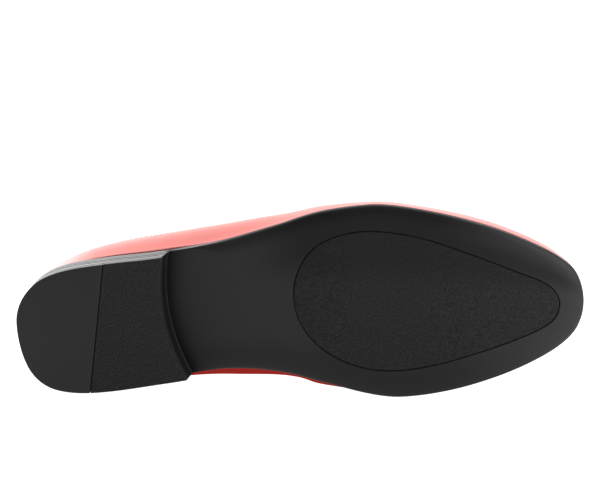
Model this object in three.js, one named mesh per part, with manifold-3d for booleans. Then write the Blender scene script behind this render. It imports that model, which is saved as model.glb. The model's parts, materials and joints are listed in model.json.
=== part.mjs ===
// A slip-on dress shoe for the right foot, lying on its medial side. Millimetres, +Z up.
// Every piece is worked out in the shoe's own upright frame: x runs from heel to toe,
// y to the medial side and z up from the tread. The finished shoe is then laid on its side.
import * as THREE from "three";
import { mergeVertices } from "three/addons/utils/BufferGeometryUtils.js";
import Module from "manifold-3d";

const wasm = await Module();
wasm.setup();

// Driving sizes of the shoe
const soleLength = 303;
const ballWidth = 104;
const instepHeight = 82; // crest of the vamp at the throat, above the tread
const heelHeight = 16.5; // heel block and lift together
const toeSpring = 14;
const soleThickness = 5.5;
const upperWall = 2;
const fitGap = 0.3; // between neighbouring pieces

// Places along the sole
const seatEnd = 0.3 * soleLength; // the flat heel seat ends and the waist begins
const ballStart = 0.607 * soleLength; // the waist comes down to the tread plane
const ballEnd = 0.713 * soleLength; // the toe spring begins
const throatX = 0.495 * soleLength; // front of the foot opening

// Outline of the sole, as shares of its length and of the ball width
const soleRows = [
  { at: 0.0, medial: 0.073, lateral: 0.073 },
  { at: 0.016, medial: 0.305, lateral: -0.068 },
  { at: 0.046, medial: 0.406, lateral: -0.149 },
  { at: 0.092, medial: 0.447, lateral: -0.197 },
  { at: 0.158, medial: 0.446, lateral: -0.224 },
  { at: 0.264, medial: 0.408, lateral: -0.253 },
  { at: 0.363, medial: 0.371, lateral: -0.301 },
  { at: 0.462, medial: 0.378, lateral: -0.386 },
  { at: 0.545, medial: 0.429, lateral: -0.463 },
  { at: 0.627, medial: 0.49, lateral: -0.4945 },
  { at: 0.677, medial: 0.506, lateral: -0.487 },
  { at: 0.759, medial: 0.479, lateral: -0.438 },
  { at: 0.842, medial: 0.419, lateral: -0.3615 },
  { at: 0.917, medial: 0.336, lateral: -0.26 },
  { at: 0.964, medial: 0.257, lateral: -0.174 },
  { at: 0.987, medial: 0.186, lateral: -0.1025 },
  { at: 1.0, medial: 0.049, lateral: 0.049 },
];

// Teardrop tread pad under the ball, on the same shares
const padRows = [
  { at: 0.494, medial: -0.022, lateral: -0.022 },
  { at: 0.505, medial: 0.115, lateral: -0.166 },
  { at: 0.528, medial: 0.208, lateral: -0.263 },
  { at: 0.563, medial: 0.285, lateral: -0.327 },
  { at: 0.617, medial: 0.347, lateral: -0.362 },
  { at: 0.67, medial: 0.3615, lateral: -0.352 },
  { at: 0.733, medial: 0.339, lateral: -0.3105 },
  { at: 0.809, medial: 0.2845, lateral: -0.225 },
  { at: 0.884, medial: 0.218, lateral: -0.127 },
  { at: 0.931, medial: 0.163, lateral: -0.062 },
  { at: 0.949, medial: 0.121, lateral: -0.016 },
  { at: 0.957, medial: 0.05, lateral: 0.05 },
];

// Sections of the last, at shares of the length. The reveal is how far the sole edge shows beyond the upper
// on each side. Each wall swells by the swell of its side, most at the swell height above the sole. The crest
// is a share of the instep height and the ridge of the ball width, and a fullness of 2 is a round section and
// more a squarer one.
const lastColumns = [
  "at", "revealMedial", "revealLateral", "swellMedial", "swellLateral",
  "swellHeightMedial", "swellHeightLateral", "crest", "ridge", "fullnessMedial", "fullnessLateral",
];
const lastRows = [
  [0.0, 1.0, 1.0, 0.3, 0.0, 22, 22, 1.25, 0.073, 2.3, 2.3],
  [0.06, 1.6, 1.8, 1.0, 1.2, 22, 24, 1.22, 0.085, 2.3, 2.45],
  [0.15, 1.0, 0.6, 3.0, 2.9, 22, 26, 1.38, 0.09, 2.6, 2.7],
  [0.27, 0.6, 0.4, 5.6, 5.2, 18, 26, 1.4, 0.075, 2.6, 2.75],
  [0.38, 0.5, 0.4, 8.0, 5.2, 15, 25, 1.22, 0.06, 2.4, 2.6],
  [0.495, 0.5, 0.4, 5.8, 2.0, 14, 22, 1.0, 0.05, 2.0, 2.35],
  [0.525, 0.5, 0.4, 6.5, 1.4, 14, 21.2, 0.9455, 0.0495, 1.957, 2.32],
  [0.6, 2.0, 0.5, 5.5, 0.4, 14, 19, 0.815, 0.05, 1.95, 2.3],
  [0.7, 2.6, 0.5, 1.2, 0.4, 13, 16, 0.66, 0.05, 2.1, 2.4],
  [0.8, 2.2, 0.4, 1.0, 1.2, 12, 14, 0.545, 0.052, 2.35, 2.6],
  [0.88, 2.0, 0.4, 1.0, 1.6, 11, 13, 0.465, 0.052, 2.6, 2.8],
  [0.95, 1.6, 0.5, 1.0, 2.2, 10, 12, 0.385, 0.05, 2.8, 2.9],
  [1.0, 1.2, 1.2, 0.3, 1.6, 10, 12, 0.29, 0.049, 2.8, 2.8],
].map((row) => Object.fromEntries(row.map((value, i) => [lastColumns[i], value])));
const swellPower = { medial: 1, lateral: 2 }; // the lateral wall starts upright and swells higher up
const counterBulge = 1.2; // swell of the heel curve behind the seat
const counterBulgeHeight = 22;
const counterLean = 6.5; // forward lean of the heel curve at its top
const counterHeight = 60;
const counterReach = 70; // the heel curve fades out this far forward

// Topline of the foot opening: share of the way from heel to throat, height above the tread
const toplineRows = [
  { at: 0.0, height: 80 },
  { at: 0.2, height: 75.5 },
  { at: 0.4, height: 69.5 },
  { at: 0.57, height: 66.8 },
  { at: 0.73, height: 68.8 },
  { at: 0.87, height: 74.2 },
  { at: 0.96, height: 79.6 },
  { at: 1.0, height: instepHeight },
];

// The bottom edge of the outsole rolls up in front of the heel
const edgeRollRows = [
  { inset: 9, rise: 0 },
  { inset: 5, rise: 0.25 },
  { inset: 2, rise: 0.8 },
  { inset: 0.5, rise: 1.5 },
  { inset: 0, rise: 2.4 },
];
const topBevel = 0.5;
const waistCrown = 1; // the waist is fuller along its middle
const waistFadeIn = 25; // crown and rolled edge grow over this length ahead of the seat
const waistFadeOut = 40; // and the crown dies away over this length behind the ball

// Heel: a stacked block on a lift in two pieces, with a concave breast
const breastBack = 78.3; // rearmost point of the breast arc
const breastMiddle = -7; // where across the shoe that point lies
const breastRadius = 101;
const breastRake = 1.5; // the breast leans forwards by this from tread to seat
const liftThickness = 5;
const liftSplitMedial = 37.8; // the rear and front lifts meet along a slanted line
const liftSplitLateral = 48.6;
const grooveChamfer = 0.5; // of the tread pieces' edges
const stackLines = 2;
const stackGroove = 0.45;

// Pad, insole and lasting margin
const padThickness = 2;
const marginWidth = 9;
const featherCorner = 1.4;
const insoleThickness = 3;
const insoleClearance = 1;

// How finely the curved pieces are cut
const soleStations = 60;
const padStations = 30;
const heelStations = 24;
const breastStations = 12;
const collarStations = 24;
const vampStations = 22;
const wallRows = 11;
const soleStrips = 6;

// How the shoe lies: turned on its side about its length, then tipped to rest on three points
const lieRoll = -88.68;
const lieTip = -1.88;

const clamp = (value) => Math.min(1, Math.max(0, value));
const smoothStep = (value) => clamp(value) ** 2 * (3 - 2 * clamp(value));
const hump = (value) => value * Math.exp(1 - value); // rises from 0 to 1 at 1, then falls away slowly
const radians = THREE.MathUtils.degToRad;

// A smooth curve through one column of a table. With round ends it leaves both ends as a round outline does.
function through(rows, column, { scale = 1, roundEnds = true } = {}) {
  const first = rows[0].at;
  const span = rows.at(-1).at - first;
  const place = (at) => {
    const share = clamp((at - first) / span);
    return roundEnds ? Math.acos(1 - 2 * share) / Math.PI : share;
  };
  const places = rows.map((row) => place(row.at));
  const values = rows.map((row) => row[column] * scale);
  const last = rows.length - 1;
  const slopes = rows.map((_, i) => {
    const before = Math.max(i - 1, 0);
    const after = Math.min(i + 1, last);
    return (values[after] - values[before]) / (places[after] - places[before]);
  });
  return (at) => {
    const here = place(at);
    const above = places.findIndex((p) => p > here);
    const k = above < 0 ? last : above;
    const width = places[k] - places[k - 1];
    const f = (here - places[k - 1]) / width;
    const rise = values[k] - values[k - 1];
    const start = slopes[k - 1] * width;
    const end = slopes[k] * width;
    return values[k - 1] + f * (start + f * (3 * rise - 2 * start - end + f * (start + end - 2 * rise)));
  };
}

const soleMedial = through(soleRows, "medial", { scale: ballWidth });
const soleLateral = through(soleRows, "lateral", { scale: ballWidth });
const padMedial = through(padRows, "medial", { scale: ballWidth });
const padLateral = through(padRows, "lateral", { scale: ballWidth });
const lastColumn = (column, scale) => through(lastRows, column, { scale });
const reveal = { medial: lastColumn("revealMedial", 1), lateral: lastColumn("revealLateral", 1) };
const swell = { medial: lastColumn("swellMedial", 1), lateral: lastColumn("swellLateral", 1) };
const swellHeight = {
  medial: lastColumn("swellHeightMedial", 1),
  lateral: lastColumn("swellHeightLateral", 1),
};
const crest = lastColumn("crest", instepHeight);
const ridge = lastColumn("ridge", ballWidth);
const fullness = { medial: lastColumn("fullnessMedial", 1), lateral: lastColumn("fullnessLateral", 1) };
const topline = through(toplineRows, "height", { roundEnds: false });

// Height of the sole's bottom along the shoe: seat, waist, ball and toe spring
function soleProfile(x) {
  const waist = heelHeight * smoothStep((ballStart - x) / (ballStart - seatEnd));
  const spring = toeSpring * Math.max(0, (x - ballEnd) / (soleLength - ballEnd)) ** 2;
  return waist + spring;
}
const soleTop = (x) => soleProfile(x) + soleThickness;

// The sole's bottom at any point: the profile, with the crown of the waist
function soleBottom(x, y) {
  const at = x / soleLength;
  const half = (soleMedial(at) - soleLateral(at)) / 2 || 1;
  const across = (y - (soleMedial(at) + soleLateral(at)) / 2) / half;
  const waist = smoothStep((x - seatEnd) / waistFadeIn) * smoothStep((ballStart - x) / waistFadeOut);
  return soleProfile(x) - waistCrown * waist * Math.max(0, 1 - across ** 2);
}

// Shares along a length, set close together at both ends
function endShares(count) {
  return Array.from({ length: count + 1 }, (_, i) => (1 - Math.cos((Math.PI * i) / count)) / 2);
}

// A closed ring in plan: along the medial edge to the toe and back along the lateral edge
function planRing(medial, lateral, shares, from = 0, to = 1) {
  const ats = shares.map((share) => from + (to - from) * share);
  const there = ats.map((at) => new THREE.Vector2(at * soleLength, medial(at)));
  const back = ats.slice(1, -1).reverse().map((at) => new THREE.Vector2(at * soleLength, lateral(at)));
  return [...there, ...back];
}

// A ring moved inwards in plan, by a distance that may change from point to point
function insetRing(ring, distance) {
  return ring.map((point, i) => {
    const along = ring[(i + 1) % ring.length].clone().sub(ring.at(i - 1)).normalize();
    const by = typeof distance === "function" ? distance(point.x, i) : distance;
    return new THREE.Vector2(point.x + along.y * by, point.y - along.x * by);
  });
}

const lift3 = (ring, height) => ring.map((p) => new THREE.Vector3(p.x, p.y, height(p.x, p.y)));

// Triangles between two rings of as many points
function bandTriangles(lower, upper) {
  return lower.flatMap((a, i) => {
    const next = (i + 1) % lower.length;
    return [[a, upper[next], lower[next]], [a, upper[i], upper[next]]];
  });
}

// Triangles that close a plan ring of even length, in strips across from its medial to its lateral side
function acrossTriangles(ring, strips, height) {
  const half = ring.length / 2;
  const rows = Array.from({ length: half + 1 }, (_, i) => {
    const medial = ring[i];
    const lateral = ring[(ring.length - i) % ring.length];
    return Array.from({ length: strips + 1 }, (_, k) => {
      if (k === 0) return medial;
      if (k === strips) return lateral;
      const p = medial.clone().lerp(lateral, k / strips);
      return p.setZ(height(p.x, p.y));
    });
  });
  const triangles = [];
  for (let i = 0; i < half; i++) {
    for (let k = 0; k < strips; k++) {
      if (i > 0) triangles.push([rows[i][k], rows[i][k + 1], rows[i + 1][k + 1]]);
      if (i < half - 1) triangles.push([rows[i][k], rows[i + 1][k + 1], rows[i + 1][k]]);
    }
  }
  return triangles;
}

// Triangles that close a flat ring of any outline
function flatTriangles(ring) {
  const flat = ring.map((p) => new THREE.Vector2(p.x, p.y));
  return THREE.ShapeUtils.triangulateShape(flat, []).map((corners) => corners.map((i) => ring[i]));
}

const turned = (triangles) => triangles.map(([a, b, c]) => [a, c, b]);

// A solid from the triangles of its closed surface
function solidFrom(triangles) {
  const positions = new Float32Array(triangles.flat().flatMap((p) => p.toArray()));
  const geometry = new THREE.BufferGeometry();
  geometry.setAttribute("position", new THREE.BufferAttribute(positions, 3));
  const merged = mergeVertices(geometry, 1e-3);
  const vertProperties = merged.attributes.position.array;
  const triVerts = new Uint32Array(merged.index.array);
  return new wasm.Manifold(new wasm.Mesh({ numProp: 3, vertProperties, triVerts }));
}

// A solid through a stack of rings, closed at both ends
const loft = (rings, closeRing) =>
  solidFrom([
    ...turned(closeRing(rings[0], 0)),
    ...rings.slice(1).flatMap((ring, i) => bandTriangles(rings[i], ring)),
    ...closeRing(rings.at(-1), 1),
  ]);

// An open surface given a wall on its inner side, with a rim along every open edge
function thicken(triangles, wall) {
  const key = (p) => p.toArray().map((v) => v.toFixed(3)).join();
  const normals = new Map();
  const edges = new Map();
  for (const corners of triangles) {
    const [a, b, c] = corners;
    const facing = b.clone().sub(a).cross(c.clone().sub(a)).normalize();
    corners.forEach((p, i) => {
      normals.set(key(p), (normals.get(key(p)) ?? new THREE.Vector3()).add(facing));
      const q = corners[(i + 1) % 3];
      edges.set(key(p) + "|" + key(q), [p, q]);
    });
  }
  const inner = (p) => p.clone().addScaledVector(normals.get(key(p)).clone().normalize(), -wall);
  const inside = triangles.map(([a, b, c]) => [inner(a), inner(c), inner(b)]);
  const open = [...edges].filter(([name]) => !edges.has(name.split("|").reverse().join("|")));
  const rim = open.flatMap(([, [p, q]]) => [[q, p, inner(p)], [q, inner(p), inner(q)]]);
  return solidFrom([...triangles, ...inside, ...rim]);
}

// The outsole, with a recess for the tread pad
function makeOutsole() {
  const outline = planRing(soleMedial, soleLateral, endShares(soleStations));
  const forepart = (x) => smoothStep((x - seatEnd) / waistFadeIn);
  const rolled = edgeRollRows.map(({ inset, rise }) =>
    lift3(insetRing(outline, inset), (x, y) => soleBottom(x, y) + rise * forepart(x)),
  );
  const side = lift3(outline, (x) => soleTop(x) - topBevel);
  const top = lift3(insetRing(outline, topBevel), soleTop);
  const body = loft([...rolled, side, top], (ring, end) =>
    acrossTriangles(ring, soleStrips, end ? soleTop : soleBottom),
  );
  return body.subtract(padShape({ clearance: fitGap, mouth: 4, depth: padThickness + fitGap, below: 4 }));
}

// The pad's form, or with a clearance and a mouth the form of its recess
function padShape({ clearance = 0, mouth = 0, depth = padThickness, below = 0 }) {
  const outline = planRing(padMedial, padLateral, endShares(padStations), padRows[0].at, padRows.at(-1).at);
  const rings = [
    { inset: below ? -clearance - mouth : grooveChamfer, rise: -below },
    { inset: -clearance, rise: grooveChamfer },
    { inset: -clearance, rise: depth },
  ].map(({ inset, rise }) => ({ ring: insetRing(outline, inset), rise }));
  const lofted = rings.map(({ ring, rise }) => lift3(ring, (x, y) => soleBottom(x, y) + rise));
  return loft(lofted, (ring, end) =>
    acrossTriangles(ring, soleStrips, (x, y) => soleBottom(x, y) + rings.at(end ? -1 : 0).rise),
  );
}

// Points along one edge of the sole, between two places
function edgeWalk(edge, fromX, toX, count) {
  return Array.from({ length: count + 1 }, (_, i) => {
    const angle = (x) => Math.acos(1 - (2 * x) / soleLength);
    const x = (soleLength * (1 - Math.cos(THREE.MathUtils.lerp(angle(fromX), angle(toX), i / count)))) / 2;
    return new THREE.Vector2(x, edge(x / soleLength));
  });
}

// Points along the heel breast at a height, from the medial to the lateral edge of the sole
function breastWalk(z) {
  const back = breastBack + (breastRake * z) / heelHeight;
  const arc = (y) => back + breastRadius - Math.sqrt(breastRadius ** 2 - (y - breastMiddle) ** 2);
  const corner = (edge) => {
    let x = back;
    for (let round = 0; round < 20; round++) x = arc(edge(x / soleLength));
    return edge(x / soleLength);
  };
  const from = corner(soleMedial);
  const to = corner(soleLateral);
  return Array.from({ length: breastStations + 1 }, (_, i) => {
    const y = THREE.MathUtils.lerp(from, to, i / breastStations);
    return new THREE.Vector2(arc(y), y);
  });
}

// A heel piece from its outline at each height, through rows of height and inset
const heelLoft = (outlineAt, rows) =>
  loft(rows.map(({ z, inset }) => lift3(insetRing(outlineAt(z), inset), () => z)), flatTriangles);

function makeHeelBlock() {
  const outlineAt = (z) => {
    const breast = breastWalk(z);
    return [
      ...edgeWalk(soleLateral, breast.at(-1).x, 0, heelStations).slice(1),
      ...edgeWalk(soleMedial, 0, breast[0].x, heelStations).slice(1, -1),
      ...breast,
    ];
  };
  const from = liftThickness + fitGap;
  const to = heelHeight - fitGap;
  const rows = [{ z: from, inset: 0 }];
  for (let line = 1; line <= stackLines; line++) {
    const z = THREE.MathUtils.lerp(from, to, line / (stackLines + 1));
    rows.push({ z: z - stackGroove, inset: 0 }, { z, inset: stackGroove }, { z: z + stackGroove, inset: 0 });
  }
  return heelLoft(outlineAt, [...rows, { z: to, inset: 0 }]);
}

const liftRows = [
  { z: 0, inset: grooveChamfer },
  { z: grooveChamfer, inset: 0 },
  { z: liftThickness, inset: 0 },
];

function makeRearLift() {
  const outline = [
    ...edgeWalk(soleLateral, liftSplitLateral, 0, heelStations),
    ...edgeWalk(soleMedial, 0, liftSplitMedial, heelStations).slice(1),
  ];
  return heelLoft(() => outline, liftRows);
}

function makeFrontLift() {
  const outlineAt = (z) => {
    const breast = breastWalk(z);
    return [
      ...edgeWalk(soleLateral, breast.at(-1).x, liftSplitLateral + fitGap, breastStations).slice(1),
      ...edgeWalk(soleMedial, liftSplitMedial + fitGap, breast[0].x, breastStations).slice(0, -1),
      ...breast,
    ];
  };
  return heelLoft(outlineAt, liftRows);
}

// The stations of the upper, from heel to throat and from throat to toe
const throatShare = throatX / soleLength;
const stationShares = [
  ...endShares(collarStations).map((share) => share * throatShare),
  ...endShares(vampStations).slice(1).map((share) => THREE.MathUtils.lerp(throatShare, 1, share)),
];

const featherRing = insetRing(planRing(soleMedial, soleLateral, stationShares), (x, i) => {
  const side = i < stationShares.length ? "medial" : "lateral";
  return reveal[side](x / soleLength);
});
const upperBase = (x) => soleTop(x) + fitGap;

// A point of the last at a station: share 0 at the feather edge and 1 at the topline or the ridge
function lastPoint(at, side, feather, share) {
  const base = upperBase(feather.x) + featherCorner;
  const top = crest(at);
  const full = fullness[side](at);
  const open = at * soleLength < throatX;
  const cut = open ? clamp((topline((at * soleLength) / throatX) - base) / (top - base)) : 1;
  const limit = Math.atan2(cut, (1 - cut ** full) ** (1 / full));
  const angle = limit * share;
  const size = (Math.cos(angle) ** full + Math.sin(angle) ** full) ** (-1 / full);
  const wide = size * Math.max(0, Math.cos(angle));
  const high = size * Math.sin(angle);
  const height = (top - base) * high;
  const swellTop = swellHeight[side](at);
  const bulge = swell[side](at) * hump(height / swellTop) ** swellPower[side] * Math.cos(angle);
  const middle = ridge(at);
  const ridgeX = THREE.MathUtils.lerp(featherRing[0].x, featherRing[stationShares.length - 1].x, at);
  const lean = counterLean * (height / counterHeight) ** 2;
  const counter = lean - counterBulge * hump(height / counterBulgeHeight);
  const fade = clamp(1 - (at * soleLength) / counterReach) ** 2;
  const outwards = side === "medial" ? 1 : -1;
  const width = clamp(Math.abs(feather.y - middle) / swellTop);
  return new THREE.Vector3(
    THREE.MathUtils.lerp(feather.x, ridgeX, high) + counter * fade,
    middle + (feather.y - middle) * wide + outwards * bulge * width,
    base + height,
  );
}

function makeUpper() {
  const corner = lift3(insetRing(featherRing, featherCorner), upperBase);
  const margin = lift3(insetRing(featherRing, featherCorner + marginWidth), upperBase);
  const column = (side, i) => {
    const k = side === "medial" ? i : (featherRing.length - i) % featherRing.length;
    const wall = Array.from({ length: wallRows + 1 }, (_, j) =>
      lastPoint(stationShares[i], side, featherRing[k], j / wallRows),
    );
    return [margin[k], corner[k], ...wall];
  };
  const triangles = [];
  for (const side of ["medial", "lateral"]) {
    const columns = stationShares.map((_, i) => column(side, i));
    const faces = columns.slice(1).flatMap((right, i) => columnTriangles(columns[i], right));
    triangles.push(...(side === "medial" ? faces : turned(faces)));
  }
  return thicken(triangles, upperWall);
}

// Triangles between two neighbouring columns, without those that shrink to nothing where the columns meet
function columnTriangles(left, right) {
  const faces = left.slice(1).flatMap((_, j) => [
    [left[j], right[j + 1], right[j]],
    [left[j], left[j + 1], right[j + 1]],
  ]);
  return faces.filter(([a, b, c]) => b.clone().sub(a).cross(c.clone().sub(a)).length() > 1e-6);
}

function makeInsole() {
  const outline = insetRing(featherRing, upperWall + insoleClearance);
  const under = (x) => upperBase(x) + upperWall + fitGap;
  const rings = [
    { inset: 0, rise: 0 },
    { inset: 0, rise: insoleThickness - topBevel },
    { inset: topBevel, rise: insoleThickness },
  ];
  const lofted = rings.map(({ inset, rise }) => lift3(insetRing(outline, inset), (x) => under(x) + rise));
  return loft(lofted, (ring, end) => acrossTriangles(ring, 1, (x) => under(x) + rings.at(end ? -1 : 0).rise));
}

// Finishes
const blackRubber = new THREE.MeshStandardMaterial({ color: 0x262626, roughness: 0.6, metalness: 0 });
const grainedRubber = new THREE.MeshStandardMaterial({ color: 0x1f1f1f, roughness: 0.85, metalness: 0 });
const heelRubber = new THREE.MeshStandardMaterial({ color: 0x2b2b2b, roughness: 0.45, metalness: 0 });
const redLeather = new THREE.MeshStandardMaterial({ color: 0xc5271d, roughness: 0.45, metalness: 0 });
const insoleLeather = new THREE.MeshStandardMaterial({ color: 0xb08d66, roughness: 0.7, metalness: 0 });

function piece(name, solid, material) {
  const { vertProperties, triVerts } = solid.getMesh();
  const geometry = new THREE.BufferGeometry();
  geometry.setAttribute("position", new THREE.BufferAttribute(new Float32Array(vertProperties), 3));
  geometry.setIndex(new THREE.BufferAttribute(new Uint32Array(triVerts), 1));
  geometry.computeVertexNormals();
  const mesh = new THREE.Mesh(geometry, material);
  mesh.name = name;
  return mesh;
}

// The shoe in its own upright frame
const shoe = new THREE.Group();
shoe.add(
  piece("outsole", makeOutsole(), blackRubber),
  piece("forefoot_pad", padShape({}), grainedRubber),
  piece("heel_block", makeHeelBlock(), heelRubber),
  piece("heel_lift_rear", makeRearLift(), blackRubber),
  piece("heel_lift_front", makeFrontLift(), grainedRubber),
  piece("upper", makeUpper(), redLeather),
  piece("insole", makeInsole(), insoleLeather),
);
shoe.rotation.x = radians(lieRoll);

// Laid on its side, with the middle of its box over the origin and its lowest point on the floor
const laidShoe = new THREE.Group();
laidShoe.add(shoe);
laidShoe.rotation.y = radians(lieTip);
const box = new THREE.Box3().setFromObject(laidShoe, true);
const middle = box.getCenter(new THREE.Vector3());
laidShoe.position.set(-middle.x, -middle.y, -box.min.z);

const part = new THREE.Group();
part.add(laidShoe);

export default part;
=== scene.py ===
import json
from math import atan, cos, pi, radians, sin, tan

import bmesh
import bpy
import numpy as np
from mathutils import Matrix, Vector


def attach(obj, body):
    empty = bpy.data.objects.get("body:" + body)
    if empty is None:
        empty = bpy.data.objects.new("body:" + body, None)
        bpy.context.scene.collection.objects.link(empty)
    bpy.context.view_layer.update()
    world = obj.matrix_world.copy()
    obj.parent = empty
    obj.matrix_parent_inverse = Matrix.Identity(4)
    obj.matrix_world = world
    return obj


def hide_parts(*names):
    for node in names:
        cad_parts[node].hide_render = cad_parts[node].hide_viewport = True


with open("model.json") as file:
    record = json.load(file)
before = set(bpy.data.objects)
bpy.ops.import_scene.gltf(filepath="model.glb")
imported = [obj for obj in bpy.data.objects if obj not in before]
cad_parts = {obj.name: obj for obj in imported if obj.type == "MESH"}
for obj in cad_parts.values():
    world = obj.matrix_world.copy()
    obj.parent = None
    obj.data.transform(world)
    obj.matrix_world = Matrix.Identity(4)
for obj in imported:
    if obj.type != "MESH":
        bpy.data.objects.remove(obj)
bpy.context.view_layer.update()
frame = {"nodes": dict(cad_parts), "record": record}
print("frame loaded:", len(frame["nodes"]), "solids")

# Sizes in metres. Every piece is worked out with the shoe upright: x from heel to toe, y to the medial
# side, z up from the tread. laid() then turns it onto its medial side, as the solids lie.
shoeLength = 0.303
shoe = {
    "length": shoeLength,
    "ballWidth": 0.104,
    "instepHeight": 0.082,
    "heelHeight": 0.0165,
    "toeSpring": 0.014,
    "soleThickness": 0.0055,
    "fitGap": 0.0003,
    "seatEnd": 0.3 * shoeLength,  # the flat seat ends and the waist begins
    "ballStart": 0.607 * shoeLength,  # the waist meets the tread plane
    "ballEnd": 0.713 * shoeLength,  # the toe spring begins
    "throat": 0.495 * shoeLength,  # front of the foot opening
    "lieRoll": radians(-88.68),
    "lieTip": radians(-1.88),
    "ballMountAt": (0.2, 0.0, 0.0),  # where the record's ball mount is on the upright shoe
}

# outline of the sole: shares of the length, and of the ball width
soleOutline = {
    "at": [0, 0.016, 0.046, 0.092, 0.158, 0.264, 0.363, 0.462, 0.545, 0.627, 0.677, 0.759, 0.842, 0.917,
           0.964, 0.987, 1],
    "medial": [0.073, 0.305, 0.406, 0.447, 0.446, 0.408, 0.371, 0.378, 0.429, 0.49, 0.506, 0.479, 0.419,
               0.336, 0.257, 0.186, 0.049],
    "lateral": [0.073, -0.068, -0.149, -0.197, -0.224, -0.253, -0.301, -0.386, -0.463, -0.4945, -0.487,
                -0.438, -0.3615, -0.26, -0.174, -0.1025, 0.049],
}

# teardrop tread pad, on the same shares
padOutline = {
    "at": [0.494, 0.505, 0.528, 0.563, 0.617, 0.67, 0.733, 0.809, 0.884, 0.931, 0.949, 0.957],
    "medial": [-0.022, 0.115, 0.208, 0.285, 0.347, 0.3615, 0.339, 0.2845, 0.218, 0.163, 0.121, 0.05],
    "lateral": [-0.022, -0.166, -0.263, -0.327, -0.362, -0.352, -0.3105, -0.225, -0.127, -0.062, -0.016,
                0.05],
}

# sections of the last: reveals and swells in metres, crest in instep heights, ridge in ball widths
lastSections = {
    "at": [0, 0.06, 0.15, 0.27, 0.38, 0.495, 0.525, 0.6, 0.7, 0.8, 0.88, 0.95, 1],
    "revealMedial": [0.001, 0.0016, 0.001, 0.0006, 0.0005, 0.0005, 0.0005, 0.002, 0.0026, 0.0022, 0.002,
                     0.0016, 0.0012],
    "revealLateral": [0.001, 0.0018, 0.0006, 0.0004, 0.0004, 0.0004, 0.0004, 0.0005, 0.0005, 0.0004,
                      0.0004, 0.0005, 0.0012],
    "swellMedial": [0.0003, 0.001, 0.003, 0.0056, 0.008, 0.0058, 0.0065, 0.0055, 0.0012, 0.001, 0.001,
                    0.001, 0.0003],
    "swellLateral": [0, 0.0012, 0.0029, 0.0052, 0.0052, 0.002, 0.0014, 0.0004, 0.0004, 0.0012, 0.0016,
                     0.0022, 0.0016],
    "swellHeightMedial": [0.022, 0.022, 0.022, 0.018, 0.015, 0.014, 0.014, 0.014, 0.013, 0.012, 0.011, 0.01,
                          0.01],
    "swellHeightLateral": [0.022, 0.024, 0.026, 0.026, 0.025, 0.022, 0.0212, 0.019, 0.016, 0.014, 0.013,
                           0.012, 0.012],
    "crest": [1.25, 1.22, 1.38, 1.4, 1.22, 1, 0.9455, 0.815, 0.66, 0.545, 0.465, 0.385, 0.29],
    "ridge": [0.073, 0.085, 0.09, 0.075, 0.06, 0.05, 0.0495, 0.05, 0.05, 0.052, 0.052, 0.05, 0.049],
    "fullnessMedial": [2.3, 2.3, 2.6, 2.6, 2.4, 2, 1.957, 1.95, 2.1, 2.35, 2.6, 2.8, 2.8],
    "fullnessLateral": [2.3, 2.45, 2.7, 2.75, 2.6, 2.35, 2.32, 2.3, 2.4, 2.6, 2.8, 2.9, 2.8],
}

# topline: share of the way from heel to throat, height above the tread
toplineRows = {
    "at": [0, 0.2, 0.4, 0.57, 0.73, 0.87, 0.96, 1],
    "height": [0.08, 0.0755, 0.0695, 0.0668, 0.0688, 0.0742, 0.0796, 0.082],
}

lieTurn = Matrix.Rotation(shoe["lieTip"], 3, "Y") @ Matrix.Rotation(shoe["lieRoll"], 3, "X")
lie = np.array(lieTurn)
ballMount = next(m for m in frame["record"]["mounts"] if m["name"] == "ball_tread")
lieShift = np.array(ballMount["pos_m"]) - lie @ np.array(shoe["ballMountAt"])


# turned by the lie's roll and tip, then shifted until the ball mount falls on the record's
def laid(points):
    return np.asarray(points) @ lie.T + lieShift


# cubic from row to row of a table, each slope taken from the rows on both sides; with round ends the
# places along are arc cosines, so that an outline closes roundly
def through(table, column, at, roundEnds=True):
    rows = np.array(table["at"], float)
    values = np.array(table[column], float)

    def place(here):
        share = np.clip((here - rows[0]) / (rows[-1] - rows[0]), 0, 1)
        return np.arccos(1 - 2 * share) / pi if roundEnds else share

    places = place(rows)
    order = np.arange(len(rows))
    before = np.maximum(order - 1, 0)
    after = np.minimum(order + 1, order[-1])
    slopes = (values[after] - values[before]) / (places[after] - places[before])
    here = place(np.asarray(at, float))
    k = np.clip(np.searchsorted(places, here, side="right"), 1, order[-1])
    width = places[k] - places[k - 1]
    f = (here - places[k - 1]) / width
    rise = values[k] - values[k - 1]
    start = slopes[k - 1] * width
    end = slopes[k] * width
    return values[k - 1] + f * (start + f * (3 * rise - 2 * start - end + f * (start + end - 2 * rise)))


# 0 below 0, 1 above 1, three squares less two cubes between
def smoothStep(value):
    v = np.clip(value, 0, 1)
    return v * v * (3 - 2 * v)


# smooth step of a value on its way from a start to an end, which may lie below the start; the settings hold
# such starts and ends as pairs
def ramp(value, start, end):
    return smoothStep((value - start) / (end - start))


# rises from 0 to 1 at 1, then falls away slowly
def hump(value):
    return value * np.exp(1 - value)


# angles of a quarter turn from 0, in equal steps
def quarterTurn(steps):
    return np.linspace(0, pi / 2, steps + 1)


# shares along a length, set close together at both ends
def endShares(count):
    return (1 - np.cos(pi * np.arange(count + 1) / count)) / 2


# how far across one edge of an outline lies, at shares of the length
def edgeAt(table, side, at):
    return through(table, side, at) * shoe["ballWidth"]


# points along that edge
def edgePoints(table, side, at):
    return np.stack([at * shoe["length"], edgeAt(table, side, at)], 1)


# closed ring in plan: along the medial edge to the toe and back along the lateral edge
def planRing(table, shares):
    at = table["at"][0] + (table["at"][-1] - table["at"][0]) * shares
    there, back = (edgePoints(table, side, at) for side in ("medial", "lateral"))
    return np.concatenate([there, back[1:-1][::-1]])


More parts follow.
